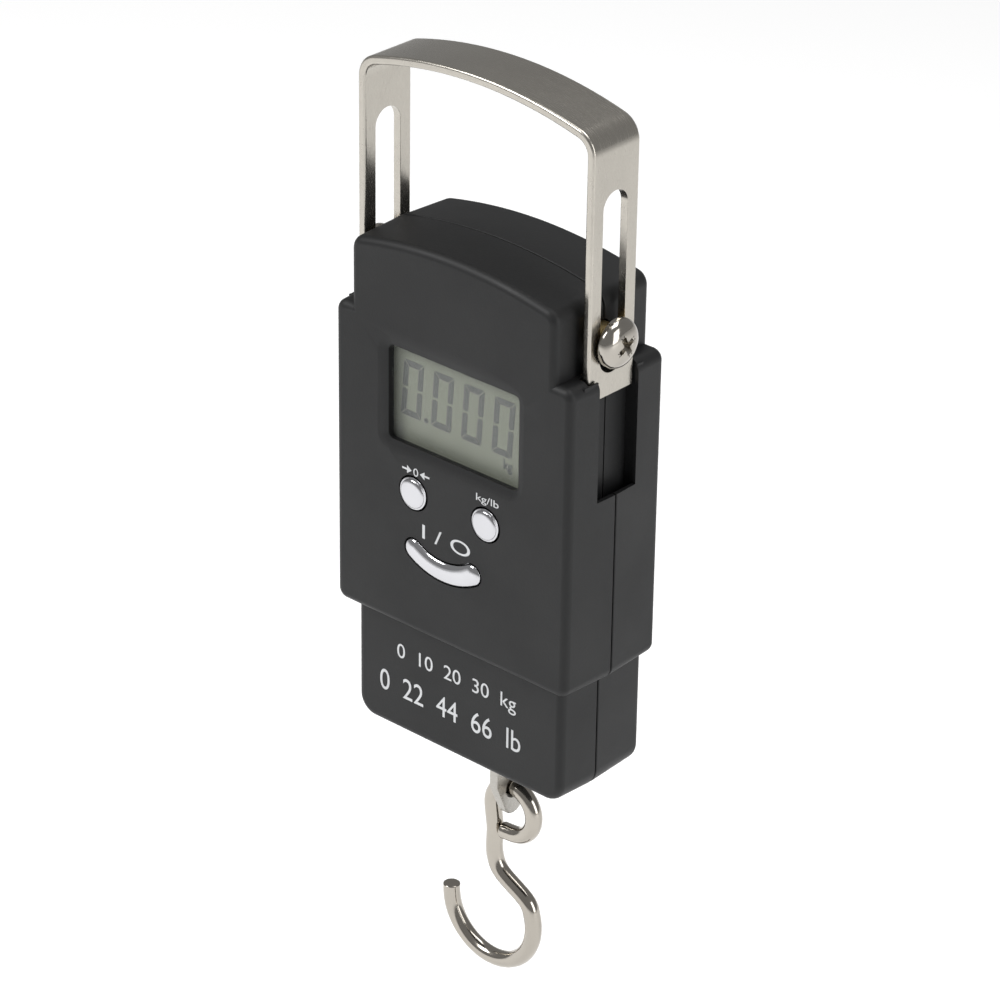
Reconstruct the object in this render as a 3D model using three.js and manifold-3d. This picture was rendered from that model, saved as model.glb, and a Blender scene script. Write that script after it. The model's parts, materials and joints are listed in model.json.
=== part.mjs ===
// Hand-held digital hanging scale: a sliding strap handle, a two-piece case with a
// screen and three buttons, a load cell inside, and a wire hook on a link below.
// Millimetres. X is across the front, -Y is the front, +Z is up. The dimensions below
// are measured from the underside of the case (Z) and from the plane where the two
// halves of the case meet (Y). The exported group puts its origin at the grip.
import * as THREE from "three";
import { mergeVertices } from "three/addons/utils/BufferGeometryUtils.js";
import Module from "manifold-3d";

const wasm = await Module();
wasm.setup();

// ---- gaps -----------------------------------------------------------------------------
const SEAM = 0.3; // between pieces that touch
const SLACK = 0.3; // round a piece that moves or is pushed in
const OVER = 1; // how far a cut runs past the face that it opens

// ---- case outline ---------------------------------------------------------------------
const WALL = 2.0;
const CASE_FRONT_Y = -13.1;
const CASE_BACK_Y = 13.8;
const BODY_HALF = 30.9; // the wide middle part
const BODY_BOTTOM_Z = 26.3;
const BODY_CORNER_R = 2.8;
const CROWN_HALF = BODY_HALF - 4.2; // the narrower part on top, between the legs of the handle
const CROWN_RISE = 17.4;
const CROWN_ARC_R = 113;
const CROWN_CORNER_R = 3.5;
const FOOT_HALF = BODY_HALF - 3.2; // the narrower part below
const FOOT_SETBACK = 2.9; // how far its front lies behind the middle part's front
const FOOT_CORNER_R = 4.7;
const EDGE_ROUND = 1.6;

// ---- batteries, which set the height of the middle part -------------------------------
const BATTERY_R = 5.25;
const BATTERY_LENGTH = 44.5;
const BATTERY_NUB_R = 1.9;
const BATTERY_NUB = 0.8;
const TRAY_WALL = 0.9;
const SPRING_ROOM = 2.4;
const CONTACT_ROOM = 1.1;
const BATTERY_WELL = BATTERY_R + SLACK; // half the width of the well that holds a battery
const BATTERY_BOTTOM_Z = BODY_BOTTOM_Z + WALL + 2.1 + TRAY_WALL + SPRING_ROOM;
const BATTERY_TOP_Z = BATTERY_BOTTOM_Z + BATTERY_LENGTH;
const BATTERY_Y = CASE_BACK_Y - WALL - SEAM - BATTERY_WELL;
const TRAY_TOP_Z = BATTERY_TOP_Z + CONTACT_ROOM + TRAY_WALL;
const BODY_TOP_Z = TRAY_TOP_Z + 12.9;
const CROWN_APEX_Z = BODY_TOP_Z + CROWN_RISE;
const CROWN_SIDE_Z = CROWN_APEX_Z - CROWN_ARC_R + Math.sqrt(CROWN_ARC_R ** 2 - CROWN_HALF ** 2);

// ---- bar that ties the handle screws together, under the crown ------------------------
const BAR_H = 11;
const BAR_HALF = CROWN_HALF - WALL - 0.7;
const BAR_BACK_Y = CASE_BACK_Y - WALL - 0.9;
const SCREW_Z = CROWN_SIDE_Z - WALL - 0.8 - BAR_H / 2;
const SCREW_R = 2.5;
const SCREW_HOLE_R = SCREW_R + SLACK;
const SCREW_HEAD_R = 5.0;
const SCREW_HEAD_H = 3.2;
const SCREW_HEAD_RIM = 0.8;
const SCREW_GRIP = 10; // how far a handle screw reaches into the bar
const SCREW_BORE = 15; // how deep its hole is
const CROSS_HALF = 2.4;
const CROSS_HALF_WIDTH = 0.55;
const CROSS_DEPTH = 1.5;

// ---- handle ---------------------------------------------------------------------------
const LIP_T = 1.0; // the thin wall of the case outside a leg
const POCKET_WALL = 1.5;
const POCKET_OUTER_X = BODY_HALF - LIP_T;
const STRAP_HALF = POCKET_OUTER_X - SLACK; // to the outer face of each leg
const STRAP_T = 1.8;
const STRAP_WIDTH = 12.9;
const STRAP_Y = -0.9;
const SLOT_WIDTH = 6.8;
const BUSH_R = SLOT_WIDTH / 2 - SLACK;
const STOP_GAP = 2.9; // the handle can still come out this far
const TRAVEL = 27.0; // the handle can sink this far
const SLOT_TOP_Z = SCREW_Z + TRAVEL + SLOT_WIDTH / 2;
const STRAP_FOOT_Z = SCREW_Z - STOP_GAP - SLOT_WIDTH / 2 - 4.7;
const GRIP_APEX_Z = SLOT_TOP_Z + 16.1;
const GRIP_ARC_R = 100;
const GRIP_CORNER_R = 5.0;

// ---- pocket that a leg slides into, and the window in the side of the case ------------
const POCKET_INNER_X = STRAP_HALF - STRAP_T - SLACK;
const POCKET_FLOOR_Z = STRAP_FOOT_Z - TRAVEL - 1.5;
const POCKET_HALF_Y = STRAP_WIDTH / 2 + 0.4;
const WINDOW_FRONT_Y = -5.3;
const WINDOW_BACK_Y = 5.75;
const WINDOW_SILL_Z = BODY_TOP_Z - 26.2;
const BATTERY_X = POCKET_INNER_X - POCKET_WALL - SEAM - TRAY_WALL - BATTERY_WELL;

// ---- battery door ---------------------------------------------------------------------
const DOOR_HALF = BATTERY_X + BATTERY_WELL - 0.5;
const DOOR_BOTTOM_Z = BATTERY_BOTTOM_Z - SPRING_ROOM - 0.7;
const DOOR_TOP_Z = BATTERY_TOP_Z + 2.4;
const DOOR_CORNER_R = 1.0;

// ---- screen and circuit board ---------------------------------------------------------
const SCREEN_HALF = 16.9;
const SCREEN_TOP_Z = BODY_TOP_Z - 6.05;
const SCREEN_BOTTOM_Z = SCREEN_TOP_Z - 20.1;
const SCREEN_DEPTH = WALL;
const SCREEN_LIP = 1.2; // how far the lens reaches behind the case
const LENS_FRONT_Y = CASE_FRONT_Y + WALL + SEAM;
const LENS_T = 1.0;
const LCD_FRONT_Y = LENS_FRONT_Y + LENS_T + SEAM;
const LCD_T = 1.6;
const CONNECTOR_T = 0.7;
const CONNECTOR_H = 2.0;
const BOARD_FRONT_Y = LCD_FRONT_Y + LCD_T + SEAM + CONNECTOR_T + SEAM;
const BOARD_T = 1.6;
const BOARD_BACK_Y = BOARD_FRONT_Y + BOARD_T;
const BOARD_HALF = SCREEN_HALF + 1.75;
const BOARD_TOP_Z = SCREW_Z - BAR_H / 2 - 3.3;
const BOARD_NOTCH = [2.5, 9]; // width and height of the notch for each upper case screw
const BAR_FRONT_Y = BOARD_FRONT_Y + 1.2;

// ---- buttons --------------------------------------------------------------------------
const KEY_R = 3.5;
const KEY_X = 9.45;
const KEY_Z = SCREEN_BOTTOM_Z - SCREEN_DEPTH - KEY_R - 3.9;
const KEY_PROUD = 0.8;
const KEY_TRAVEL = 0.8;
const KEY_RIM = 1.0;
const KEY_RIM_T = 0.8;
const POWER_X = -1.6;
const POWER_Z = KEY_Z - KEY_R - 8.7; // the middle of its two ends
const POWER_ARC_R = 14.5;
const POWER_ARC_DEG = 32;
const POWER_HALF_BAND = 2.2;
const SWITCH_HALF = 2.5;
const SWITCH_PLUNGER_R = 1.5;
const SWITCH_PLUNGER = 0.8;
const BOARD_BOTTOM_Z = POWER_Z - 9.1;

// ---- load cell and link, in the middle of the rear half -------------------------------
const LOAD_Y = (SEAM / 2 + CASE_BACK_Y - WALL) / 2;
const CELL_HALF = BATTERY_X - BATTERY_WELL - TRAY_WALL - 2.3;
const CELL_T = 8;
const CELL_H = 62;
const CELL_TOP_Z = SCREW_Z - BAR_H / 2 - SEAM;
const CELL_BOTTOM_Z = CELL_TOP_Z - CELL_H;
const CELL_BORE_R = 5.5;
const CELL_WEB = 1.0; // from the middle of the cell to each bore
const CELL_SLIT = 1.5;
const GAUGE_T = 0.4;
const GAUGE_HALF = 3.5;
const BOLT_HEAD_R = 4.0;
const BOLT_HEAD_H = 2.8;
const LINK_T = 2.0;
const LINK_HALF = 5.3;
const LINK_NECK_R = 3.6;
const LINK_PIN_R = 2.0;
const LINK_PIN_Z = CELL_BOTTOM_Z + 5;
const LINK_SHOULDER_Z = CELL_BOTTOM_Z - 6.4;
const LINK_HOLE_R = 2.3;
const LINK_HOLE_Z = -13.2;
const LINK_END_R = 2.8;
const LINK_END_Z = LINK_HOLE_Z - 6.2;
const LINK_TAPER = 0.42; // angle of its tapered sides from the vertical, in radians

// ---- hook -----------------------------------------------------------------------------
const WIRE_R = 1.8;
const EYE_R = 5.6;
const EYE_X = 0.9;
const EYE_Z = LINK_HOLE_Z - EYE_R;
const SHANK_X = -4.0;
const SHANK_BOTTOM_Z = EYE_Z - 12.2;
const BEND_R = 11.45;
const BEND_X = -4.5;
const BEND_Z = SHANK_BOTTOM_Z - 14.2;
const TIP_Z = BEND_Z + 1.3;

// ---- case screws ----------------------------------------------------------------------
const BOSS_R = 3.2;
const BOSS_HIGH_X = POCKET_INNER_X - POCKET_WALL - BOSS_R - 0.8;
const BOSS_HIGH_Z = (TRAY_TOP_Z + SCREW_Z - BAR_H / 2) / 2;
const BOSS_LOW_X = FOOT_HALF - WALL - BOSS_R - 2.2;
const BOSS_LOW_Z = WALL + BOSS_R + 2.8;
const CASE_SCREW_R = 1.2;
const CASE_SCREW_HEAD_R = 2.2;
const CASE_SCREW_HEAD_H = 1.6;
const CASE_SCREW_SEAT_Y = CASE_BACK_Y - 7.6;
const CASE_SCREW_TIP_Y = -6.5;

const CABLE_R = 0.7;

const ROUND = 24; // sides of a small round piece

// ---- materials ------------------------------------------------------------------------
const paint = (color, roughness, metalness) =>
  new THREE.MeshStandardMaterial({ color, roughness, metalness });
const casePlastic = paint(0x2a2b2c, 0.55, 0);
const nickel = paint(0xb8b2a8, 0.28, 1);
const chrome = paint(0xe2e2e4, 0.12, 1);
const steel = paint(0x9a9c9e, 0.35, 1);
const aluminium = paint(0xb4b6ba, 0.4, 1);
const brass = paint(0xb08d4a, 0.4, 1);
const clear = paint(0xd8e0dc, 0.1, 0);
const screenGreen = paint(0x8f9683, 0.4, 0);
const boardGreen = paint(0x1f5a3a, 0.5, 0);
const blackPlastic = paint(0x18181a, 0.6, 0);
const foam = paint(0x3c3c40, 0.9, 0);
const batterySleeve = paint(0x4a5560, 0.4, 0);
const wireRed = paint(0xa02822, 0.5, 0);

// ---- small tools ----------------------------------------------------------------------
function solid(geometry) {
  const bare = new THREE.BufferGeometry().setAttribute(
    "position",
    geometry.getAttribute("position"),
  );
  if (geometry.index) bare.setIndex(geometry.index);
  const merged = mergeVertices(bare, 1e-3);
  return new wasm.Manifold(
    new wasm.Mesh({
      numProp: 3,
      vertProperties: merged.attributes.position.array,
      triVerts: new Uint32Array(merged.index.array),
    }),
  );
}

function geometryOf(made) {
  const { vertProperties, numProp, numVert, triVerts } = made.getMesh();
  const places = new Float32Array(numVert * 3);
  for (let i = 0; i < numVert; i++)
    places.set(vertProperties.subarray(i * numProp, i * numProp + 3), i * 3);
  return new THREE.BufferGeometry()
    .setAttribute("position", new THREE.BufferAttribute(places, 3))
    .setIndex(new THREE.BufferAttribute(new Uint32Array(triVerts), 1));
}

// A block between two corners.
function block(x0, x1, y0, y1, z0, z1) {
  const g = new THREE.BoxGeometry(x1 - x0, y1 - y0, z1 - z0);
  return solid(g.translate((x0 + x1) / 2, (y0 + y1) / 2, (z0 + z1) / 2));
}

// The two ends of a stretch of X on one side of the middle, the lower one first.
function span(side, from, to) {
  return side < 0 ? [-to, -from] : [from, to];
}

// A round bar along one axis, from one end to the other, at two coordinates.
function bar(axis, radius, from, to, a, b, sides = ROUND) {
  const g = new THREE.CylinderGeometry(radius, radius, to - from, sides);
  const middle = (from + to) / 2;
  if (axis === "x") g.rotateZ(Math.PI / 2).translate(middle, a, b);
  if (axis === "y") g.translate(a, middle, b);
  if (axis === "z") g.rotateX(Math.PI / 2).translate(a, b, middle);
  return solid(g);
}

// A front-view outline (X, Z) made into a slab from yFront to yBack, its edges rounded by r.
function slab(shape, yFront, yBack, r = 0, curveSegments = 6) {
  const g = new THREE.ExtrudeGeometry(shape, {
    depth: yBack - yFront - 2 * r,
    bevelEnabled: r > 0,
    bevelThickness: r,
    bevelSize: r,
    bevelOffset: -r,
    bevelSegments: 3,
    curveSegments,
  });
  return solid(g.rotateX(Math.PI / 2).translate(0, yBack - r, 0));
}

// A side-view outline (Y, Z) made into a slab from x0 to x1.
function sideSlab(shape, x0, x1, curveSegments = 12) {
  const g = new THREE.ExtrudeGeometry(shape, {
    depth: x1 - x0,
    bevelEnabled: false,
    curveSegments,
  });
  const turn = new THREE.Matrix4().makeBasis(
    new THREE.Vector3(0, 1, 0),
    new THREE.Vector3(0, 0, 1),
    new THREE.Vector3(1, 0, 0),
  );
  return solid(g.applyMatrix4(turn).translate(x0, 0, 0));
}

function roundedBox(half, z0, z1, r) {
  const s = new THREE.Shape();
  s.absarc(half - r, z0 + r, r, -Math.PI / 2, 0);
  s.absarc(half - r, z1 - r, r, 0, Math.PI / 2);
  s.absarc(-half + r, z1 - r, r, Math.PI / 2, Math.PI);
  s.absarc(-half + r, z0 + r, r, Math.PI, 1.5 * Math.PI);
  s.closePath();
  return s;
}

// A block with an arched top whose highest point is at apex.
function archedBox(half, z0, apex, arcR, cornerR) {
  const arcZ = apex - arcR;
  const inner = arcR - cornerR;
  const cornerX = half - cornerR;
  const cornerZ = arcZ + Math.sqrt(inner ** 2 - cornerX ** 2);
  const lean = Math.atan2(cornerZ - arcZ, cornerX);
  const s = new THREE.Shape();
  s.moveTo(-half, z0);
  s.lineTo(half, z0);
  s.absarc(cornerX, cornerZ, cornerR, 0, lean);
  s.absarc(0, arcZ, arcR, lean, Math.PI - lean);
  s.absarc(-cornerX, cornerZ, cornerR, Math.PI - lean, Math.PI);
  s.closePath();
  return s;
}

// A wire of round section along a curve.
function wire(curve, radius, steps, sides) {
  const section = new THREE.Shape();
  section.absarc(0, 0, radius, 0, 2 * Math.PI);
  return solid(
    new THREE.ExtrudeGeometry(section, {
      extrudePath: curve,
      steps,
      curveSegments: sides,
      bevelEnabled: false,
    }),
  );
}

const part = new THREE.Group();
part.position.set(0, -STRAP_Y, -(GRIP_APEX_Z - STRAP_T));

function add(name, made, material) {
  const mesh = new THREE.Mesh(geometryOf(made), material);
  mesh.name = name;
  part.add(mesh);
  return made;
}

// ---- handle ---------------------------------------------------------------------------
function strapOutline(inset) {
  const apex = GRIP_APEX_Z - inset;
  return archedBox(STRAP_HALF - inset, STRAP_FOOT_Z, apex, GRIP_ARC_R - inset, GRIP_CORNER_R - inset);
}

function makeHandle() {
  const front = STRAP_Y - STRAP_WIDTH / 2;
  const back = STRAP_Y + STRAP_WIDTH / 2;
  const outer = slab(strapOutline(0), front, back, 0, 12);
  const inner = slab(strapOutline(STRAP_T), front - OVER, back + OVER, 0, 12);
  const gap = STRAP_HALF - STRAP_T;
  const open = block(-gap, gap, front - OVER, back + OVER, STRAP_FOOT_Z - OVER, STRAP_FOOT_Z + OVER);
  const r = SLOT_WIDTH / 2;
  const slot = new THREE.Shape();
  slot.absarc(STRAP_Y, SLOT_TOP_Z - r, r, 0, Math.PI);
  slot.absarc(STRAP_Y, SCREW_Z - STOP_GAP, r, Math.PI, 2 * Math.PI);
  slot.closePath();
  const slots = sideSlab(slot, -STRAP_HALF - OVER, STRAP_HALF + OVER, 10);
  add("handle_strap", outer.subtract(inner).subtract(open).subtract(slots), nickel);
}

// ---- case -----------------------------------------------------------------------------
// The middle part, the arched crown and the foot overlap one another, so that they join.
const CROWN_ROOT = 12;
const FOOT_ROOT = 12;

function caseOutside() {
  const bodyShape = roundedBox(BODY_HALF, BODY_BOTTOM_Z, BODY_TOP_Z, BODY_CORNER_R);
  const crownBottom = BODY_TOP_Z - CROWN_ROOT;
  const crownShape = archedBox(CROWN_HALF, crownBottom, CROWN_APEX_Z, CROWN_ARC_R, CROWN_CORNER_R);
  const footShape = roundedBox(FOOT_HALF, 0, BODY_BOTTOM_Z + FOOT_ROOT, FOOT_CORNER_R);
  const body = slab(bodyShape, CASE_FRONT_Y, CASE_BACK_Y, EDGE_ROUND);
  const crown = slab(crownShape, CASE_FRONT_Y, CASE_BACK_Y, EDGE_ROUND, 10);
  const foot = slab(footShape, CASE_FRONT_Y + FOOT_SETBACK, CASE_BACK_Y, EDGE_ROUND);
  return body.add(crown).add(foot);
}

function caseInside() {
  const front = CASE_FRONT_Y + WALL;
  const back = CASE_BACK_Y - WALL;
  const wide = BODY_HALF - WALL;
  const low = FOOT_HALF - WALL;
  const body = block(-wide, wide, front, back, BODY_BOTTOM_Z + WALL, BODY_TOP_Z - WALL);
  const crownShape = archedBox(
    CROWN_HALF - WALL,
    BODY_TOP_Z - CROWN_ROOT - WALL,
    CROWN_APEX_Z - WALL,
    CROWN_ARC_R - WALL,
    CROWN_CORNER_R - WALL / 2,
  );
  const foot = block(-low, low, front + FOOT_SETBACK, back, WALL, BODY_BOTTOM_Z + 2 * WALL);
  return body.add(slab(crownShape, front, back)).add(foot);
}

// The walls round each leg's pocket, inside the case.
function pocketWalls(side) {
  const [x0, x1] = span(side, POCKET_INNER_X - POCKET_WALL, BODY_HALF - LIP_T / 2);
  const y0 = STRAP_Y - POCKET_HALF_Y - POCKET_WALL;
  const y1 = STRAP_Y + POCKET_HALF_Y + POCKET_WALL;
  return block(x0, x1, y0, y1, POCKET_FLOOR_Z - POCKET_WALL, BODY_TOP_Z - WALL / 2);
}

// The pocket, open at the shoulder, and the window that opens it to the side.
function pocketHollow(side) {
  const [x0, x1] = span(side, POCKET_INNER_X, POCKET_OUTER_X);
  const [w0, w1] = span(side, POCKET_INNER_X, BODY_HALF + OVER);
  const top = BODY_TOP_Z + OVER;
  const pocket = block(x0, x1, STRAP_Y - POCKET_HALF_Y, STRAP_Y + POCKET_HALF_Y, POCKET_FLOOR_Z, top);
  return pocket.add(block(w0, w1, WINDOW_FRONT_Y, WINDOW_BACK_Y, WINDOW_SILL_Z, top));
}

// The screen opening: a straight-sided window with a sloped surround in front of it.
function screenOpening() {
  const y0 = CASE_FRONT_Y - OVER / 2;
  const y1 = CASE_FRONT_Y + SCREEN_DEPTH;
  const straight = block(-SCREEN_HALF, SCREEN_HALF, y0, y1 + OVER, SCREEN_BOTTOM_Z, SCREEN_TOP_Z);
  const reach = y1 - y0;
  const g = new THREE.BoxGeometry(2 * SCREEN_HALF, reach, SCREEN_TOP_Z - SCREEN_BOTTOM_Z);
  const p = g.getAttribute("position");
  for (let i = 0; i < p.count; i++)
    if (p.getY(i) < 0) {
      p.setX(i, p.getX(i) + Math.sign(p.getX(i)) * reach);
      p.setZ(i, p.getZ(i) + Math.sign(p.getZ(i)) * reach);
    }
  return straight.add(solid(g.translate(0, y1 - reach / 2, (SCREEN_BOTTOM_Z + SCREEN_TOP_Z) / 2)));
}

const bosses = [
  ["shell_screw_upper_left", -BOSS_HIGH_X, BOSS_HIGH_Z],
  ["shell_screw_upper_right", BOSS_HIGH_X, BOSS_HIGH_Z],
  ["shell_screw_lower_left", -BOSS_LOW_X, BOSS_LOW_Z],
  ["shell_screw_lower_right", BOSS_LOW_X, BOSS_LOW_Z],
];

// The power button's outline: a smile-shaped band with round ends.
function powerOutline(grow) {
  const half = THREE.MathUtils.degToRad(POWER_ARC_DEG);
  const down = -Math.PI / 2;
  const band = POWER_HALF_BAND + grow;
  const centreZ = POWER_Z + POWER_ARC_R * Math.cos(half);
  const end = (a) => [POWER_X + POWER_ARC_R * Math.cos(a), centreZ + POWER_ARC_R * Math.sin(a)];
  const s = new THREE.Shape();
  s.absarc(POWER_X, centreZ, POWER_ARC_R + band, down - half, down + half);
  s.absarc(...end(down + half), band, down + half, down + half + Math.PI);
  s.absarc(POWER_X, centreZ, POWER_ARC_R - band, down + half, down - half, true);
  s.absarc(...end(down - half), band, down - half + Math.PI, down - half + 2 * Math.PI);
  s.closePath();
  return s;
}

// Both halves of the case in one, before the seam and the openings are cut.
function makeWholeCase() {
  let both = caseOutside().subtract(caseInside());
  for (const side of [-1, 1]) {
    both = both.add(pocketWalls(side)).subtract(pocketHollow(side));
    const [x0, x1] = span(side, CROWN_HALF - WALL - OVER, CROWN_HALF + OVER);
    both = both.subtract(bar("x", BUSH_R + SLACK, x0, x1, STRAP_Y, SCREW_Z));
  }
  for (const [, x, z] of bosses) {
    const front = CASE_FRONT_Y + (z < BODY_BOTTOM_Z ? FOOT_SETBACK : 0) + WALL;
    both = both.add(bar("y", BOSS_R, front - WALL / 4, CASE_BACK_Y - WALL * 0.75, x, z));
    const tip = CASE_SCREW_TIP_Y - 1.5;
    both = both.subtract(bar("y", CASE_SCREW_R + SLACK, tip, CASE_BACK_Y - OVER, x, z, 12));
    const seat = CASE_SCREW_SEAT_Y - SEAM;
    both = both.subtract(bar("y", CASE_SCREW_HEAD_R + SLACK, seat, CASE_BACK_Y + OVER, x, z, 16));
  }
  return both;
}

function makeCase() {
  const both = makeWholeCase();
  const far = 2 * GRIP_APEX_Z;
  let front = both.intersect(block(-far, far, -far, -SEAM / 2, -far, far)).subtract(screenOpening());
  const wallFront = CASE_FRONT_Y - OVER;
  const wallBack = CASE_FRONT_Y + WALL + SEAM / 2;
  for (const x of [-KEY_X, KEY_X])
    front = front.subtract(bar("y", KEY_R + SLACK, wallFront, wallBack, x, KEY_Z));
  add("front_shell", front.subtract(slab(powerOutline(SLACK), wallFront, wallBack, 0, 8)), casePlastic);

  const halfY = LINK_HALF + SLACK;
  const halfX = LINK_T / 2 + 0.8;
  const linkHole = block(-halfX, halfX, LOAD_Y - halfY, LOAD_Y + halfY, -OVER, WALL + OVER);
  const inside = CASE_BACK_Y - WALL;
  const outside = CASE_BACK_Y + OVER;
  const doorHole = block(-DOOR_HALF, DOOR_HALF, inside - OVER, outside, DOOR_BOTTOM_Z, DOOR_TOP_Z);
  const rear = both.intersect(block(-far, far, SEAM / 2, far, -far, far));
  add("rear_shell", rear.subtract(linkHole).subtract(doorHole), casePlastic);
  const door = roundedBox(DOOR_HALF - SLACK, DOOR_BOTTOM_Z + SLACK, DOOR_TOP_Z - SLACK, DOOR_CORNER_R);
  add("battery_door", slab(door, inside, CASE_BACK_Y, 0, 3), casePlastic);
}

// ---- screen ---------------------------------------------------------------------------
function makeScreen() {
  const x = SCREEN_HALF + SCREEN_LIP;
  const z0 = SCREEN_BOTTOM_Z - SCREEN_LIP;
  const z1 = SCREEN_TOP_Z + SCREEN_LIP;
  add("display_lens", block(-x, x, LENS_FRONT_Y, LENS_FRONT_Y + LENS_T, z0, z1), clear);
  const lcdBack = LCD_FRONT_Y + LCD_T;
  add("lcd_panel", block(-x, x, LCD_FRONT_Y, lcdBack, z0, z1), screenGreen);
  const top = z1 - 0.4;
  const strip = block(-x + 1, x - 1, lcdBack + SEAM, BOARD_FRONT_Y - SEAM, top - CONNECTOR_H, top);
  add("display_connector", strip, foam);
}

// The board, with its two chips on the back, has a notch for each upper case screw.
function makeBoard() {
  const [notchX, notchZ] = BOARD_NOTCH;
  let board = block(-BOARD_HALF, BOARD_HALF, BOARD_FRONT_Y, BOARD_BACK_Y, BOARD_BOTTOM_Z, BOARD_TOP_Z);
  for (const side of [-1, 1]) {
    const [x0, x1] = span(side, BOARD_HALF - notchX, BOARD_HALF + OVER);
    const [y0, y1] = [BOARD_FRONT_Y - OVER, BOARD_BACK_Y + OVER];
    board = board.subtract(block(x0, x1, y0, y1, BOARD_TOP_Z - notchZ, BOARD_TOP_Z + OVER));
  }
  add("main_board", board, boardGreen);
  const chipY = BOARD_BACK_Y + SEAM;
  const chipZ = SCREEN_BOTTOM_Z - 3;
  add("processor_chip", block(-5, 5, chipY, chipY + 1.6, chipZ, chipZ + 10), blackPlastic);
  add("memory_chip", block(8, 13, chipY, chipY + 1.4, chipZ + 2, chipZ + 6), blackPlastic);
}

// ---- buttons and their switches -------------------------------------------------------
// Each button sits in its hole with a rim behind the front wall, and meets its switch when pressed.
function makeButton(name, outline, rimOutline, x, z) {
  const rimFront = CASE_FRONT_Y + WALL + SEAM;
  const rimBack = rimFront + KEY_RIM_T;
  const cap = slab(outline, CASE_FRONT_Y - KEY_PROUD, rimFront + SEAM / 2, 0, 8);
  add(`${name}_button`, cap.add(slab(rimOutline, rimFront, rimBack, 0, 8)), chrome);
  const plunger = rimBack + KEY_TRAVEL + 0.2;
  const base = plunger + SWITCH_PLUNGER;
  const h = SWITCH_HALF;
  const housing = block(x - h, x + h, base, BOARD_FRONT_Y - SEAM, z - h, z + h);
  const pin = bar("y", SWITCH_PLUNGER_R, plunger, base + SEAM / 2, x, z, 12);
  add(`${name}_switch`, housing.add(pin), steel);
}

function disc(x, z, r) {
  const s = new THREE.Shape();
  s.absarc(x, z, r, 0, 2 * Math.PI);
  return s;
}

function makeButtons() {
  const rimR = KEY_R + KEY_RIM;
  makeButton("tare", disc(-KEY_X, KEY_Z, KEY_R), disc(-KEY_X, KEY_Z, rimR), -KEY_X, KEY_Z);
  makeButton("unit", disc(KEY_X, KEY_Z, KEY_R), disc(KEY_X, KEY_Z, rimR), KEY_X, KEY_Z);
  makeButton("power", powerOutline(0), powerOutline(KEY_RIM), POWER_X, POWER_Z);
}

// ---- load path: bar between the handle screws, load cell, link and hook ---------------
const SIDES = [
  [-1, "left"],
  [1, "right"],
];

function makeAnchor() {
  const half = BAR_H / 2;
  let anchor = block(-BAR_HALF, BAR_HALF, BAR_FRONT_Y, BAR_BACK_Y, SCREW_Z - half, SCREW_Z + half);
  for (const side of [-1, 1]) {
    const [x0, x1] = span(side, BAR_HALF - SCREW_BORE, BAR_HALF + OVER);
    anchor = anchor.subtract(bar("x", SCREW_HOLE_R, x0, x1, STRAP_Y, SCREW_Z, 16));
  }
  anchor = anchor.subtract(bar("z", SCREW_HOLE_R, SCREW_Z - BAR_H, SCREW_Z + BAR_H, 0, LOAD_Y, 16));
  add("anchor_bar", anchor, aluminium);
  for (const [side, word] of SIDES) {
    const bush = bar("x", BUSH_R, ...span(side, BAR_HALF + SEAM, STRAP_HALF + SEAM), STRAP_Y, SCREW_Z);
    const hole = bar("x", SCREW_HOLE_R, ...span(side, BAR_HALF, STRAP_HALF + OVER), STRAP_Y, SCREW_Z, 16);
    add(`handle_bush_${word}`, bush.subtract(hole), brass);
    add(`handle_screw_${word}`, handleScrew(side), nickel);
  }
}

// A pan-head machine screw along X with a cross recess, its head outside the strap.
function handleScrew(side) {
  const seat = STRAP_HALF + 2 * SEAM;
  const tip = BAR_HALF - SCREW_GRIP;
  const end = seat + SCREW_HEAD_H;
  const point = (r, x) => new THREE.Vector2(r, x);
  const profile = [point(0, tip), point(SCREW_R, tip), point(SCREW_R, seat), point(SCREW_HEAD_R, seat)];
  const domeSteps = 6;
  for (let i = 0; i < domeSteps; i++) {
    const a = (i / domeSteps) * (Math.PI / 2);
    const rise = SCREW_HEAD_RIM + (SCREW_HEAD_H - SCREW_HEAD_RIM) * Math.sin(a);
    profile.push(point(SCREW_HEAD_R * Math.cos(a), seat + rise));
  }
  profile.push(point(0, end));
  const at = [0, STRAP_Y, SCREW_Z];
  const g = new THREE.LatheGeometry(profile, ROUND).rotateZ(-Math.PI / 2).translate(...at);
  const cut = (y, z) => block(end - CROSS_DEPTH, end + OVER, -y, y, -z, z).translate(at);
  const cross = cut(CROSS_HALF, CROSS_HALF_WIDTH).add(cut(CROSS_HALF_WIDTH, CROSS_HALF));
  const made = solid(g).subtract(cross);
  return side < 0 ? made.mirror([1, 0, 0]) : made;
}

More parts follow.
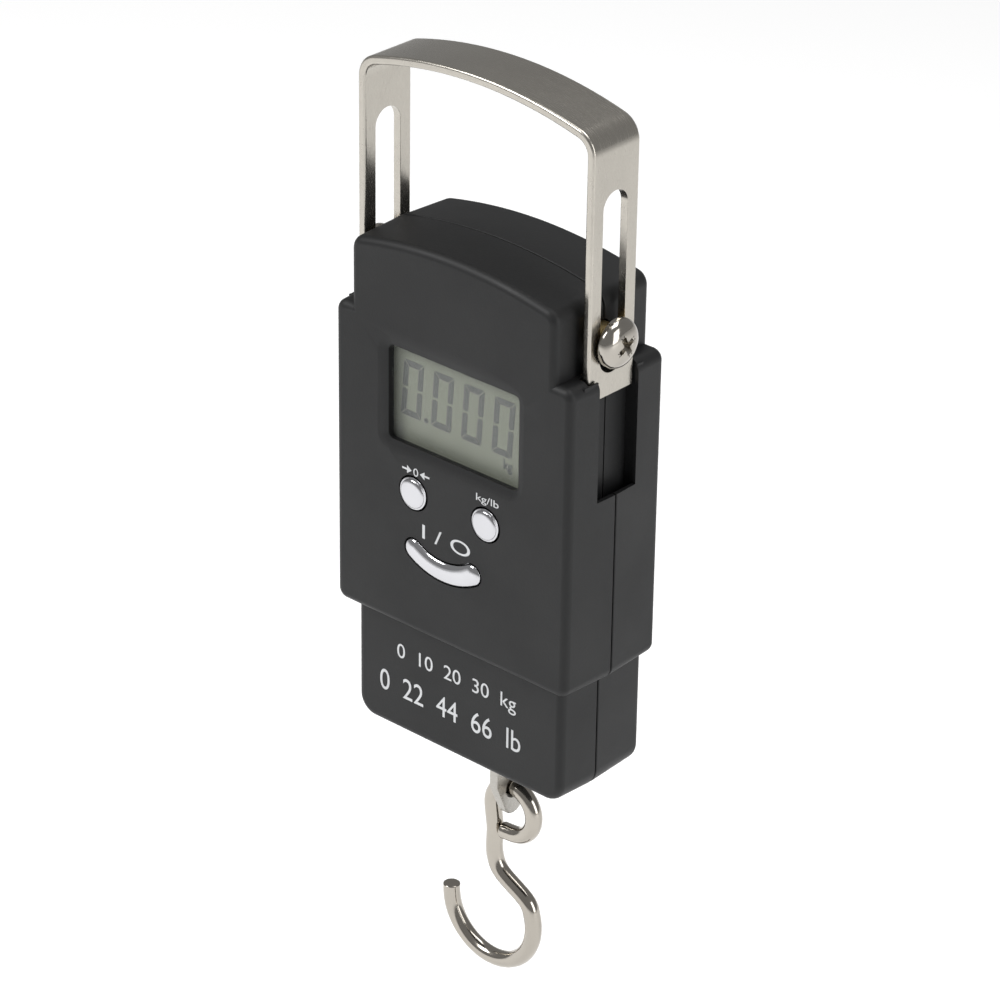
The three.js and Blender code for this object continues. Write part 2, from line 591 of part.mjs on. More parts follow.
// The load cell is an upright S: two slits from opposite sides leave a double bore between them to bend.
function makeLoadCell() {
  const middle = (CELL_TOP_Z + CELL_BOTTOM_Z) / 2;
  const y0 = LOAD_Y - CELL_T / 2;
  const y1 = LOAD_Y + CELL_T / 2;
  const through = (x0, x1, z0, z1) => block(x0, x1, y0 - OVER, y1 + OVER, z0, z1);
  const apart = CELL_BORE_R + CELL_WEB;
  const slit = middle + 3 * CELL_BORE_R;
  const lowSlit = 2 * middle - slit;
  const hinge = CELL_BORE_R - 0.5; // metal left beside each slit
  let cell = block(-CELL_HALF, CELL_HALF, y0, y1, CELL_BOTTOM_Z, CELL_TOP_Z);
  for (const up of [-1, 1])
    cell = cell.subtract(bar("y", CELL_BORE_R, y0 - OVER, y1 + OVER, 0, middle + up * apart));
  cell = cell.subtract(through(-CELL_SLIT, CELL_SLIT, middle - apart, middle + apart));
  cell = cell.subtract(through(hinge - CELL_HALF, CELL_HALF + OVER, slit, slit + CELL_SLIT));
  cell = cell.subtract(through(-CELL_HALF - OVER, CELL_HALF - hinge, lowSlit - CELL_SLIT, lowSlit));
  cell = cell.subtract(bar("z", SCREW_HOLE_R, CELL_TOP_Z - 9, CELL_TOP_Z + OVER, 0, LOAD_Y, 16));
  const cleft = LINK_T / 2 + SLACK;
  cell = cell.subtract(through(-cleft, cleft, CELL_BOTTOM_Z - OVER, LINK_PIN_Z + LINK_NECK_R + 2.4));
  const pinEnd = CELL_HALF + OVER;
  cell = cell.subtract(bar("x", LINK_PIN_R + SLACK, -pinEnd, pinEnd, LOAD_Y, LINK_PIN_Z, 16));
  add("load_cell", cell, aluminium);
  for (const [side, word] of SIDES) {
    const [x0, x1] = span(side, CELL_HALF + SEAM, CELL_HALF + SEAM + GAUGE_T);
    const z0 = middle + apart - GAUGE_HALF;
    add(`strain_gauge_${word}`, block(x0, x1, LOAD_Y - 2, LOAD_Y + 2, z0, z0 + 2 * GAUGE_HALF), wireRed);
  }
  const headZ = SCREW_Z + BAR_H / 2 + SEAM;
  const shank = bar("z", SCREW_R, CELL_TOP_Z - 8, headZ + SEAM, 0, LOAD_Y, 16);
  const head = bar("z", BOLT_HEAD_R, headZ, headZ + BOLT_HEAD_H, 0, LOAD_Y, 12);
  add("load_cell_bolt", shank.add(head), steel);
}

// The link is a flat plate that hangs in the load cell's cleft and ends in a tapered eye for the hook.
function makeLink() {
  const endZ = LINK_END_Z + LINK_END_R;
  const drop = (LINK_HALF - LINK_END_R * Math.cos(LINK_TAPER)) / Math.tan(LINK_TAPER);
  const shoulder = endZ - LINK_END_R * Math.sin(LINK_TAPER) + drop;
  const slope = LINK_SHOULDER_Z - 4;
  const s = new THREE.Shape();
  s.absarc(LOAD_Y, LINK_PIN_Z, LINK_NECK_R, 0, Math.PI);
  s.lineTo(LOAD_Y - LINK_NECK_R, LINK_SHOULDER_Z);
  s.lineTo(LOAD_Y - LINK_HALF, slope);
  s.lineTo(LOAD_Y - LINK_HALF, shoulder);
  s.absarc(LOAD_Y, endZ, LINK_END_R, Math.PI + LINK_TAPER, 2 * Math.PI - LINK_TAPER);
  s.lineTo(LOAD_Y + LINK_HALF, shoulder);
  s.lineTo(LOAD_Y + LINK_HALF, slope);
  s.lineTo(LOAD_Y + LINK_NECK_R, LINK_SHOULDER_Z);
  s.closePath();
  let link = sideSlab(s, -LINK_T / 2, LINK_T / 2, 10);
  link = link.subtract(bar("x", LINK_HOLE_R, -LINK_T, LINK_T, LOAD_Y, LINK_HOLE_Z, 20));
  link = link.subtract(bar("x", LINK_PIN_R + SLACK, -LINK_T, LINK_T, LOAD_Y, LINK_PIN_Z, 16));
  add("hook_link", link, steel);
  const pinHalf = CELL_HALF - 0.5;
  add("link_pin", bar("x", LINK_PIN_R, -pinHalf, pinHalf, LOAD_Y, LINK_PIN_Z, 16), steel);
}

// The hook is one bent wire: a closed eye, a short shank, a slanted run and the open bend.
function hookPath() {
  const at = (x, z) => new THREE.Vector3(x, LOAD_Y, z);
  const points = [at(EYE_X - 2.7, EYE_Z - EYE_R - 0.3)];
  for (let a = -80; a <= 180; a += 20) {
    const t = THREE.MathUtils.degToRad(a);
    points.push(at(EYE_X + EYE_R * Math.cos(t), EYE_Z + EYE_R * Math.sin(t)));
  }
  points.push(at(SHANK_X, EYE_Z - EYE_R - 0.5), at(SHANK_X, SHANK_BOTTOM_Z));
  points.push(at(SHANK_X + 1.5, SHANK_BOTTOM_Z - 3.5));
  for (let a = 30; a >= -180; a -= 15) {
    const t = THREE.MathUtils.degToRad(a);
    points.push(at(BEND_X + BEND_R * Math.cos(t), BEND_Z + BEND_R * Math.sin(t)));
  }
  points.push(at(BEND_X - BEND_R, TIP_Z));
  return new THREE.CatmullRomCurve3(points, false, "centripetal");
}

// ---- batteries ------------------------------------------------------------------------
function makeBatteries() {
  const z0 = BATTERY_BOTTOM_Z;
  const z1 = BATTERY_TOP_Z;
  const low = z0 - SPRING_ROOM;
  const high = z1 + CONTACT_ROOM;
  const well = BATTERY_WELL;
  for (const [side, word] of SIDES) {
    const x = side * BATTERY_X;
    const can = bar("z", BATTERY_R, z0, z1 - BATTERY_NUB, x, BATTERY_Y, 20);
    const nub = bar("z", BATTERY_NUB_R, z1 - BATTERY_NUB - SEAM, z1, x, BATTERY_Y, 12);
    add(`battery_${word}`, can.add(nub), batterySleeve);
    const out = well + TRAY_WALL;
    const tray = block(x - out, x + out, BATTERY_Y - out, BATTERY_Y + well, low - TRAY_WALL, TRAY_TOP_Z);
    const hollow = block(x - well, x + well, BATTERY_Y - well, BATTERY_Y + well + OVER, low, high);
    add(`battery_tray_${word}`, tray.subtract(hollow), blackPlastic);
    const contact = z1 + SEAM;
    const plate = block(x - 4, x + 4, BATTERY_Y - 4, BATTERY_Y + 4, contact, contact + 0.4);
    add(`battery_contact_${word}`, plate, nickel);
    add(`battery_spring_${word}`, batterySpring(x, low + 0.6, z0 - 2 * SEAM), steel);
  }
}

// A conical compression spring under a battery.
function batterySpring(x, z0, z1) {
  class Coil extends THREE.Curve {
    getPoint(t, target = new THREE.Vector3()) {
      const a = 2 * Math.PI * 2 * t;
      const r = 3.6 - 1.6 * t;
      return target.set(x + r * Math.cos(a), BATTERY_Y + r * Math.sin(a), z0 + (z1 - z0) * t);
    }
  }
  return wire(new Coil(), 0.3, 28, 3);
}

// ---- fasteners and wiring -------------------------------------------------------------
function makeCaseScrews() {
  const seat = CASE_SCREW_SEAT_Y;
  for (const [name, x, z] of bosses) {
    const shank = bar("y", CASE_SCREW_R, CASE_SCREW_TIP_Y, seat + 0.2, x, z, 10);
    add(name, shank.add(bar("y", CASE_SCREW_HEAD_R, seat, seat + CASE_SCREW_HEAD_H, x, z, 12)), steel);
  }
}

// Each cable runs from what it serves to the back of the board, through points chosen by hand.
function makeWiring() {
  const route = (points) => new THREE.CatmullRomCurve3(points.map((p) => new THREE.Vector3(...p)));
  const boardEnd = BOARD_BACK_Y + CABLE_R;
  const x = CELL_HALF + 2;
  const z = CELL_TOP_Z - 9;
  const gauge = route([
    [x, LOAD_Y, z],
    [x + 0.6, LOAD_Y - 4, z + 1.5],
    [x - 0.6, boardEnd + 4, z + 1.5],
    [x - 2.5, boardEnd, z - 2],
  ]);
  add("gauge_cable", wire(gauge, CABLE_R, 20, 2), blackPlastic);
  const trayFront = BATTERY_Y - BATTERY_WELL - TRAY_WALL - CABLE_R - 0.6;
  const low = BATTERY_BOTTOM_Z + 4;
  const trayX = BATTERY_WELL - BATTERY_X + 0.6;
  const power = route([
    [trayX, trayFront, low],
    [trayX, trayFront - 1.4, low + 1],
    [trayX + 0.5, boardEnd + 1, low + 4],
    [trayX + 1, boardEnd, low + 10],
  ]);
  add("battery_cable", wire(power, CABLE_R, 12, 2), wireRed);
}

makeHandle();
makeCase();
makeScreen();
makeBoard();
makeButtons();
makeAnchor();
makeLoadCell();
makeLink();
add("hook", wire(hookPath(), WIRE_R, 90, 3), nickel);
makeBatteries();
makeCaseScrews();
makeWiring();

export default part;
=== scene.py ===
"""Hand-held digital hanging scale: the detailed pieces, materials, light and camera."""

import json
import math

import bmesh
import bpy
from mathutils import Matrix, Vector


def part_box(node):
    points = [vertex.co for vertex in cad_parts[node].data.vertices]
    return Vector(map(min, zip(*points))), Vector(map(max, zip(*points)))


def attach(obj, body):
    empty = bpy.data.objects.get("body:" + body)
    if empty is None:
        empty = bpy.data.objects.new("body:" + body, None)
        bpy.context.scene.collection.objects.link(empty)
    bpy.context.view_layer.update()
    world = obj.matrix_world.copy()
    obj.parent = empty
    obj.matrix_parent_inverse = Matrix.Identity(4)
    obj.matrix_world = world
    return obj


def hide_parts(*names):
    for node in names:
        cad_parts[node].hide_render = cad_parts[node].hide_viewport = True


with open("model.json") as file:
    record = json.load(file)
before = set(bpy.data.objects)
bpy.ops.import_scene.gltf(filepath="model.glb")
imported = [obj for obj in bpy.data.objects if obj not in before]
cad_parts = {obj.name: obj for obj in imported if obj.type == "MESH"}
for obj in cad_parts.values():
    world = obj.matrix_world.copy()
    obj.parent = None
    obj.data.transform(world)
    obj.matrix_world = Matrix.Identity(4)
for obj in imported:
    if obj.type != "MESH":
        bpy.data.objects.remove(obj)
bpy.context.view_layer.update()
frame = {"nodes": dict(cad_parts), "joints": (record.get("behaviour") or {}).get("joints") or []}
nodes = frame["nodes"]
MM = 0.001

# ---- places that the frame gives ------------------------------------------------------------
front_lo, front_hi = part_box("front_shell")
rear_lo, rear_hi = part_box("rear_shell")
door_lo, door_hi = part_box("battery_door")
strap_lo, strap_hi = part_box("handle_strap")
lens_lo, lens_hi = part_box("display_lens")
lcd_lo, lcd_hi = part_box("lcd_panel")
hook_lo, hook_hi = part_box("hook")
link_lo, link_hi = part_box("hook_link")
tare_lo, tare_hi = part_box("tare_button")
unit_lo, unit_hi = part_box("unit_button")
power_lo, power_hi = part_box("power_button")
screw_lo, screw_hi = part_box("handle_screw_right")

BASE_Z = front_lo.z  # underside of the case
SEAM_Y = (front_hi.y + rear_lo.y) / 2
FRONT_Y = front_lo.y
BACK_Y = rear_hi.y
BODY_HALF = front_hi.x
CROWN_APEX = front_hi.z

# ---- sizes of the case, as in the CAD model ---------------------------------------------------
WALL = 2.0 * MM
BODY_BOTTOM = BASE_Z + 26.3 * MM
BODY_TOP = CROWN_APEX - 17.4 * MM
BODY_CORNER = 2.8 * MM
CROWN_HALF = BODY_HALF - 4.2 * MM
CROWN_ARC = 113 * MM
CROWN_CORNER = 3.5 * MM
FOOT_HALF = BODY_HALF - 3.2 * MM
FOOT_SETBACK = 2.9 * MM
DRAFT = 0.04  # how fast each half narrows from the seam to its face
FOOT_CORNER = 4.7 * MM
EDGE_ROUND = 1.6 * MM
SEAM_GAP = 0.3 * MM
SEAM_EDGE = 0.25 * MM
STRAP_T = 1.8 * MM
GRIP_ARC = 100 * MM
GRIP_CORNER = 5.0 * MM
SLOT_R = 3.4 * MM
SCREW_Z = (screw_lo.z + screw_hi.z) / 2
STRAP_Y = (strap_lo.y + strap_hi.y) / 2
SLACK = 0.3 * MM
STOP_GAP, TRAVEL = (abs(v) for v in frame["joints"][0]["range_m"])
SCREEN_LIP = 1.2 * MM  # how far the lens reaches behind the case on each side
SLOPE_DEPTH = 0.9 * MM
SLOPE_WIDTH = 2.1 * MM
KEY_RIM = 1.0 * MM
RIM_T = 0.8 * MM
OVER = 1.0 * MM  # how far a cut runs past the face that it opens
OVERLAP = 12 * MM  # how far the crown and the foot reach into the middle part
WIRE_R = (hook_hi.y - hook_lo.y) / 2
LOAD_Y = (hook_lo.y + hook_hi.y) / 2


# ---- small tools --------------------------------------------------------------------------------
def mesh_object(name, verts, faces):
    mesh = bpy.data.meshes.new(name)
    mesh.from_pydata([tuple(v) for v in verts], [], faces)
    bm = bmesh.new()
    bm.from_mesh(mesh)
    bmesh.ops.recalc_face_normals(bm, faces=bm.faces)
    bm.to_mesh(mesh)
    bm.free()
    obj = bpy.data.objects.new(name, mesh)
    bpy.context.scene.collection.objects.link(obj)
    return obj


def bake(obj):
    """Applies every modifier of obj to its mesh."""
    graph = bpy.context.evaluated_depsgraph_get()
    made = bpy.data.meshes.new_from_object(obj.evaluated_get(graph))
    old = obj.data
    obj.modifiers.clear()
    obj.data = made
    bpy.data.meshes.remove(old)
    return obj


def boolean(obj, operation, *others):
    """Joins, cuts or intersects obj with the others, which are used up."""
    for other in others:
        mod = obj.modifiers.new("bool", "BOOLEAN")
        mod.operation = operation
        mod.solver = "EXACT"
        mod.object = other
    bake(obj)
    for other in others:
        bpy.data.objects.remove(other)
    return obj


def smooth(obj, angle=30, edge=0.0, segments=2, limit=40):
    """Shades obj smooth with small rounded edges."""
    if edge:
        bm = bmesh.new()
        bm.from_mesh(obj.data)
        bmesh.ops.remove_doubles(bm, verts=bm.verts, dist=0.004 * MM)
        bmesh.ops.dissolve_limit(bm, angle_limit=math.radians(0.1), verts=bm.verts, edges=bm.edges)
        bm.to_mesh(obj.data)
        bm.free()
        mod = obj.modifiers.new("edges", "BEVEL")
        mod.width = edge
        mod.segments = segments
        mod.limit_method = "ANGLE"
        mod.angle_limit = math.radians(limit)
        mod.use_clamp_overlap = False
        mod.miter_outer = "MITER_ARC"
        bake(obj)
    obj.data.polygons.foreach_set("use_smooth", [True] * len(obj.data.polygons))
    obj.data.set_sharp_from_angle(angle=math.radians(angle))
    mod = obj.modifiers.new("normals", "WEIGHTED_NORMAL")
    mod.keep_sharp = True
    mod.weight = 100
    return obj


def place(obj, body, material, *replaced, slot=None):
    """Gives a new piece its material, its body and the CAD nodes that it stands for."""
    obj.data.materials.clear()
    obj.data.materials.append(material)
    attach(obj, body)
    if replaced:
        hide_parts(*replaced)
    return obj


def arc(cx, cz, r, start, end, steps):
    """Points along an arc, angles in degrees."""
    out = []
    for i in range(steps + 1):
        a = math.radians(start + (end - start) * i / steps)
        out.append((cx + r * math.cos(a), cz + r * math.sin(a)))
    return out


def rounded_box(half, z0, z1, corner, inset=0.0, steps=10):
    h = half - inset
    low = z0 + inset
    high = z1 - inset
    r = max(corner - inset, 0.05 * MM)
    points = arc(h - r, low + r, r, -90, 0, steps)
    points += arc(h - r, high - r, r, 0, 90, steps)
    points += arc(-h + r, high - r, r, 90, 180, steps)
    points += arc(-h + r, low + r, r, 180, 270, steps)
    return points


def arched_box(half, z0, apex, big, corner, inset=0.0, steps=10, top_steps=48):
    """A box outline whose top is an arch of radius big that peaks at apex."""
    centre = apex - big
    r = max(corner - inset, 0.05 * MM)
    big_in = big - inset
    cx = half - inset - r
    cz = centre + math.sqrt((big_in - r) ** 2 - cx**2)
    lean = math.degrees(math.atan2(cz - centre, cx))
    points = [(-(half - inset), z0 + inset), (half - inset, z0 + inset)]
    points += arc(cx, cz, r, 0, lean, steps)[:-1]
    points += arc(0, centre, big_in, lean, 180 - lean, top_steps)
    points += arc(-cx, cz, r, 180 - lean, 180, steps)[1:]
    return points


def skin(name, rings):
    """Closes rings of (x, y, z) points, all of one length, into a solid with flat ends."""
    n = len(rings[0])
    last = (len(rings) - 1) * n
    faces = [tuple(range(n)), tuple(range(last, last + n))]
    for k in range(0, last, n):
        faces += [(k + i, k + (i + 1) % n, k + n + (i + 1) % n, k + n + i) for i in range(n)]
    return mesh_object(name, [point for ring in rings for point in ring], faces)


def stacked(name, outline, rings):
    """A solid from outline(inset) at each (inset, y) of rings."""
    return skin(name, [[(x, y, z) for x, z in outline(inset)] for inset, y in rings])


def slab(name, outline, y0, y1, front=0.0, back=0.0, steps=6, draft=0.0):
    """Stacks outline(inset) from y0 to y1, with rounded edges, narrowing away from the seam."""
    turns = [math.radians(90 * i / steps) for i in range(steps + 1)]
    rings = [(0.0, y0)]
    if front:
        rings = [(front * (1 - math.sin(a)), y0 + front * (1 - math.cos(a))) for a in turns]
    if back:
        rings += [(back * (1 - math.sin(a)), y1 - back * (1 - math.cos(a))) for a in reversed(turns)]
    else:
        rings.append((0.0, y1))
    return stacked(name, outline, [(inset + draft * abs(y - SEAM_Y), y) for inset, y in rings])


def box(x0, x1, y0, y1, z0, z1):
    verts = [(x, y, z) for x in (x0, x1) for y in (y0, y1) for z in (z0, z1)]
    faces = [(0, 1, 3, 2), (4, 6, 7, 5), (0, 4, 5, 1), (2, 3, 7, 6), (0, 2, 6, 4), (1, 5, 7, 3)]
    return mesh_object("cutter", verts, faces)


def side_slab(name, points, x0, x1):
    """A prism along X of a side-view outline of (y, z) points."""
    return skin(name, [[(x, y, z) for y, z in points] for x in (x0, x1)])


def round_bar(axis, r, start, end, a, b, sides=48):
    """A cylinder along an axis at the two other coordinates, in X, Y, Z order."""
    rings = []
    for along in (start, end):
        turns = [2 * math.pi * i / sides for i in range(sides)]
        points = [(a + r * math.cos(t), b + r * math.sin(t)) for t in turns]
        rings.append([{"x": (along, u, v), "y": (u, along, v)}[axis] for u, v in points])
    return skin("cutter", rings)


def lathe(name, profile, sides=64):
    """Turns (radius, height) points about Z; the first and last points are on the axis."""
    verts = [(0, 0, profile[0][1])]
    for r, h in profile[1:-1]:
        for i in range(sides):
            t = 2 * math.pi * i / sides
            verts.append((r * math.cos(t), r * math.sin(t), h))
    verts.append((0, 0, profile[-1][1]))
    rows = len(profile) - 2
    last = len(verts) - 1
    faces = []
    for i in range(sides):
        j = (i + 1) % sides
        faces.append((0, 1 + j, 1 + i))
        for k in range(rows - 1):
            a, b = 1 + k * sides, 1 + (k + 1) * sides
            faces.append((a + i, a + j, b + j, b + i))
        top = 1 + (rows - 1) * sides
        faces.append((top + i, top + j, last))
    return mesh_object(name, verts, faces)


# ---- materials ----------------------------------------------------------------------------------
NOISE_LOW = 0.3  # nearly all of a noise pattern lies between these two
NOISE_HIGH = 0.7
GRAIN_DEPTH = 0.06 * MM
BRUSH_DEPTH = 0.012 * MM
PLASTIC_SHINE = 0.36
PLASTIC_MOTTLE = 0.07
METAL_MOTTLE = 0.04


def shader(name, color, rough, metallic=0.0):
    mat = bpy.data.materials.new(name)
    mat.use_nodes = True
    principled = mat.node_tree.nodes["Principled BSDF"]
    principled.inputs["Base Color"].default_value = (*color, 1)
    principled.inputs["Roughness"].default_value = rough
    principled.inputs["Metallic"].default_value = metallic
    return mat, mat.node_tree, principled


def object_noise(tree, scale, stretch=(1, 1, 1), detail=3):
    """A noise pattern fixed to the object; scale is in waves per metre."""
    coords = tree.nodes.new("ShaderNodeTexCoord")
    mapping = tree.nodes.new("ShaderNodeMapping")
    mapping.inputs["Scale"].default_value = stretch
    noise = tree.nodes.new("ShaderNodeTexNoise")
    noise.inputs["Scale"].default_value = scale
    noise.inputs["Detail"].default_value = detail
    tree.links.new(coords.outputs["Object"], mapping.inputs["Vector"])
    tree.links.new(mapping.outputs["Vector"], noise.inputs["Vector"])
    return noise.outputs["Fac"]


def blend_range(tree, value, low, high):
    """Spreads a noise value over the range from low to high."""
    node = tree.nodes.new("ShaderNodeMapRange")
    node.inputs["From Min"].default_value = NOISE_LOW
    node.inputs["From Max"].default_value = NOISE_HIGH
    node.inputs["To Min"].default_value = low
    node.inputs["To Max"].default_value = high
    tree.links.new(value, node.inputs["Value"])
    return node.outputs["Result"]


def vary_color(tree, principled, value, color, share):
    """Makes the base colour darker and lighter than color by a share of it."""
    ramp = tree.nodes.new("ShaderNodeValToRGB")
    ramp.color_ramp.elements[0].position = NOISE_LOW
    ramp.color_ramp.elements[1].position = NOISE_HIGH
    ramp.color_ramp.elements[0].color = (*(c * (1 - share) for c in color), 1)
    ramp.color_ramp.elements[1].color = (*(c * (1 + share) for c in color), 1)
    tree.links.new(value, ramp.inputs["Fac"])
    tree.links.new(ramp.outputs["Color"], principled.inputs["Base Color"])


def bump(tree, principled, value, distance, strength):
    node = tree.nodes.new("ShaderNodeBump")
    node.inputs["Distance"].default_value = distance
    node.inputs["Strength"].default_value = strength
    tree.links.new(value, node.inputs["Height"])
    tree.links.new(node.outputs["Normal"], principled.inputs["Normal"])


def moulded_plastic(name, color, rough=0.5, grain=2600):
    """Fine spark-eroded grain, with a faint unevenness in colour and gloss."""
    mat, tree, principled = shader(name, color, rough)
    fine = object_noise(tree, grain, detail=2)
    broad = object_noise(tree, 60)
    vary_color(tree, principled, broad, color, PLASTIC_MOTTLE)
    tree.links.new(blend_range(tree, broad, rough - 0.04, rough + 0.05), principled.inputs["Roughness"])
    principled.inputs["Specular IOR Level"].default_value = PLASTIC_SHINE
    bump(tree, principled, fine, GRAIN_DEPTH, 0.35)
    return mat


def plated_metal(name, color, rough, brush=(1, 1, 1), scale=900):
    """Plated or polished metal; brush stretches the fine lines along one axis."""
    mat, tree, principled = shader(name, color, rough, 1.0)
    lines = object_noise(tree, scale, brush, detail=6)
    broad = object_noise(tree, 90)
    vary_color(tree, principled, broad, color, METAL_MOTTLE)
    tree.links.new(blend_range(tree, lines, rough * 0.8, rough * 1.25), principled.inputs["Roughness"])
    bump(tree, principled, lines, BRUSH_DEPTH, 0.5)
    return mat


def clear_sheet(name):
    """Clear plastic, thin enough to be see-through without bending the light."""
    mat, tree, principled = shader(name, (0.9, 0.93, 0.9), 0.08)
    principled.inputs["Alpha"].default_value = 0.07
    haze = object_noise(tree, 400, detail=2)
    tree.links.new(blend_range(tree, haze, 0.05, 0.1), principled.inputs["Roughness"])
    return mat


case_plastic = moulded_plastic("case_plastic", (0.0068, 0.007, 0.0074), 0.52)
strap_metal = plated_metal("strap_nickel", (0.46, 0.435, 0.39), 0.24, (1, 14, 1), 500)
screw_metal = plated_metal("screw_nickel", (0.42, 0.395, 0.355), 0.12)
hook_metal = plated_metal("hook_nickel", (0.42, 0.39, 0.345), 0.13, scale=700)
link_metal = plated_metal("link_nickel", (0.42, 0.405, 0.375), 0.3)
button_metal = plated_metal("button_chrome", (0.56, 0.56, 0.58), 0.09, scale=300)
steel = plated_metal("zinc_steel", (0.55, 0.55, 0.56), 0.35)
aluminium = plated_metal("milled_aluminium", (0.68, 0.69, 0.71), 0.32, (1, 1, 12))
brass = plated_metal("turned_brass", (0.72, 0.55, 0.27), 0.3)
lens_clear = clear_sheet("lens_clear")
lcd_glass = moulded_plastic("lcd_glass", (0.125, 0.138, 0.09), 0.35, 900)
lcd_ink = moulded_plastic("lcd_ink", (0.014, 0.018, 0.015), 0.4, 900)
board_green = moulded_plastic("board_green", (0.02, 0.12, 0.05), 0.35, 700)
black_plastic = moulded_plastic("black_plastic", (0.018, 0.018, 0.019), 0.5)
rubber = moulded_plastic("rubber_strip", (0.03, 0.03, 0.03), 0.7)
sleeve = moulded_plastic("battery_sleeve", (0.06, 0.09, 0.14), 0.3, 500)
film = moulded_plastic("gauge_film", (0.42, 0.12, 0.05), 0.35, 500)
print_white = moulded_plastic("print_white", (0.62, 0.63, 0.64), 0.5, 900)

# The CAD nodes inside the case stay visible when it is opened, so each has its own material.
for name in nodes:
    material = steel
    if name.startswith("battery_tray") or name.endswith("_chip") or name == "gauge_cable":
        material = black_plastic
    elif name in ("battery_left", "battery_right"):
        material = sleeve
    elif name.startswith("strain_gauge") or name == "battery_cable":
        material = film
    elif name in ("anchor_bar", "load_cell"):
        material = aluminium
    elif name.startswith("handle_bush"):
        material = brass
    elif name == "main_board":
        material = board_green
    elif name == "display_connector":
        material = rubber
    nodes[name].data.materials.clear()
    nodes[name].data.materials.append(material)
    nodes[name].data.set_sharp_from_angle(angle=math.radians(30))


# ---- case -----------------------------------------------------------------------------------------
def body_outline(inset):
    return rounded_box(BODY_HALF, BODY_BOTTOM, BODY_TOP, BODY_CORNER, inset)


def crown_outline(inset):
    return arched_box(CROWN_HALF, BODY_TOP - OVERLAP, CROWN_APEX, CROWN_ARC, CROWN_CORNER, inset)


def foot_outline(inset):
    return rounded_box(FOOT_HALF, BASE_Z, BODY_BOTTOM + OVERLAP, FOOT_CORNER, inset)


def crown_inside(inset):
    half = CROWN_HALF - WALL
    low = BODY_TOP - OVERLAP - WALL
    return arched_box(half, low, CROWN_APEX - WALL, CROWN_ARC - WALL, CROWN_CORNER - WALL / 2, inset)


POCKET_INNER = strap_hi.x - STRAP_T - SLACK
POCKET_OUTER = BODY_HALF - 1.0 * MM
POCKET_WALL = 1.5 * MM
POCKET_SINK = 0.6 * MM  # how far the outside of the case stands past the pocket walls
POCKET_FLOOR = strap_lo.z - TRAVEL - 1.5 * MM
POCKET_HALF_Y = (strap_hi.y - strap_lo.y) / 2 + 0.4 * MM
WINDOW_FRONT = SEAM_Y - 5.3 * MM
WINDOW_BACK = SEAM_Y + 5.75 * MM
WINDOW_SILL = BODY_TOP - 26.2 * MM
BOSSES = [(-22, 86.8), (22, 86.8), (-20.3, 8), (20.3, 8)]  # x and height above BASE_Z, in mm
BOSS_R = 3.2 * MM
BOSS_BORE_R = 1.5 * MM
BOSS_HEAD_R = 2.5 * MM
LINK_SIDE_GAP = 0.8 * MM
LINK_END_GAP = 0.6 * MM
BOSS_ROOT = 0.5 * MM  # how far a boss runs into the wall that it stands on


def mirrored_box(side, x0, x1, *rest):
    return box(min(side * x0, side * x1), max(side * x0, side * x1), *rest)


def half_case(name, y0, y1, front, back, foot_y0):
    """One half of the case between y0 and y1, with its edges rounded at the face and the seam."""
    case = slab(name, body_outline, y0, y1, front, back, draft=DRAFT)
    crown = slab("crown", crown_outline, y0, y1, front, back, draft=DRAFT)
    foot = slab("foot", foot_outline, foot_y0, y1, front, back, draft=DRAFT)
    boolean(case, "UNION", crown, foot)
    inner = (FRONT_Y + WALL, BACK_Y - WALL)
    hollow = box(-BODY_HALF + WALL, BODY_HALF - WALL, *inner, BODY_BOTTOM + WALL, BODY_TOP - WALL)
    top = slab("inside", crown_inside, *inner)
    low_inner = (inner[0] + FOOT_SETBACK, inner[1])
    low = box(-FOOT_HALF + WALL, FOOT_HALF - WALL, *low_inner, BASE_Z + WALL, BODY_BOTTOM + 2 * WALL)
    boolean(case, "DIFFERENCE", hollow, top, low)
    pocket_walls, pocket_cuts = pockets(y0, y1)
    boss_posts, boss_bores = bosses(y0, y1, *inner)
    boolean(case, "UNION", *pocket_walls, *boss_posts)
    boolean(case, "DIFFERENCE", *pocket_cuts, *boss_bores)
    return case


def pockets(y0, y1):
    """The walls and the openings of the two side pockets that the handle sinks into."""
    walls = []
    cuts = []
    reach = POCKET_HALF_Y + POCKET_WALL
    around = (max(STRAP_Y - reach, y0), min(STRAP_Y + reach, y1))
    within = (STRAP_Y - POCKET_HALF_Y, STRAP_Y + POCKET_HALF_Y)
    wall_out = BODY_HALF - POCKET_SINK
    wall_z = (POCKET_FLOOR - POCKET_WALL, BODY_TOP - WALL / 2)
    for side in (-1, 1):
        walls.append(mirrored_box(side, POCKET_INNER - POCKET_WALL, wall_out, *around, *wall_z))
        cuts.append(mirrored_box(side, POCKET_INNER, POCKET_OUTER, *within, POCKET_FLOOR, BODY_TOP + OVER))
        window = (WINDOW_FRONT, WINDOW_BACK, WINDOW_SILL, BODY_TOP + OVER)
        cuts.append(mirrored_box(side, POCKET_INNER, BODY_HALF + OVER, *window))
        ends = sorted((side * (CROWN_HALF - WALL - OVER), side * (CROWN_HALF + OVER)))
        cuts.append(round_bar("x", SLOT_R, *ends, STRAP_Y, SCREW_Z))
    return walls, cuts


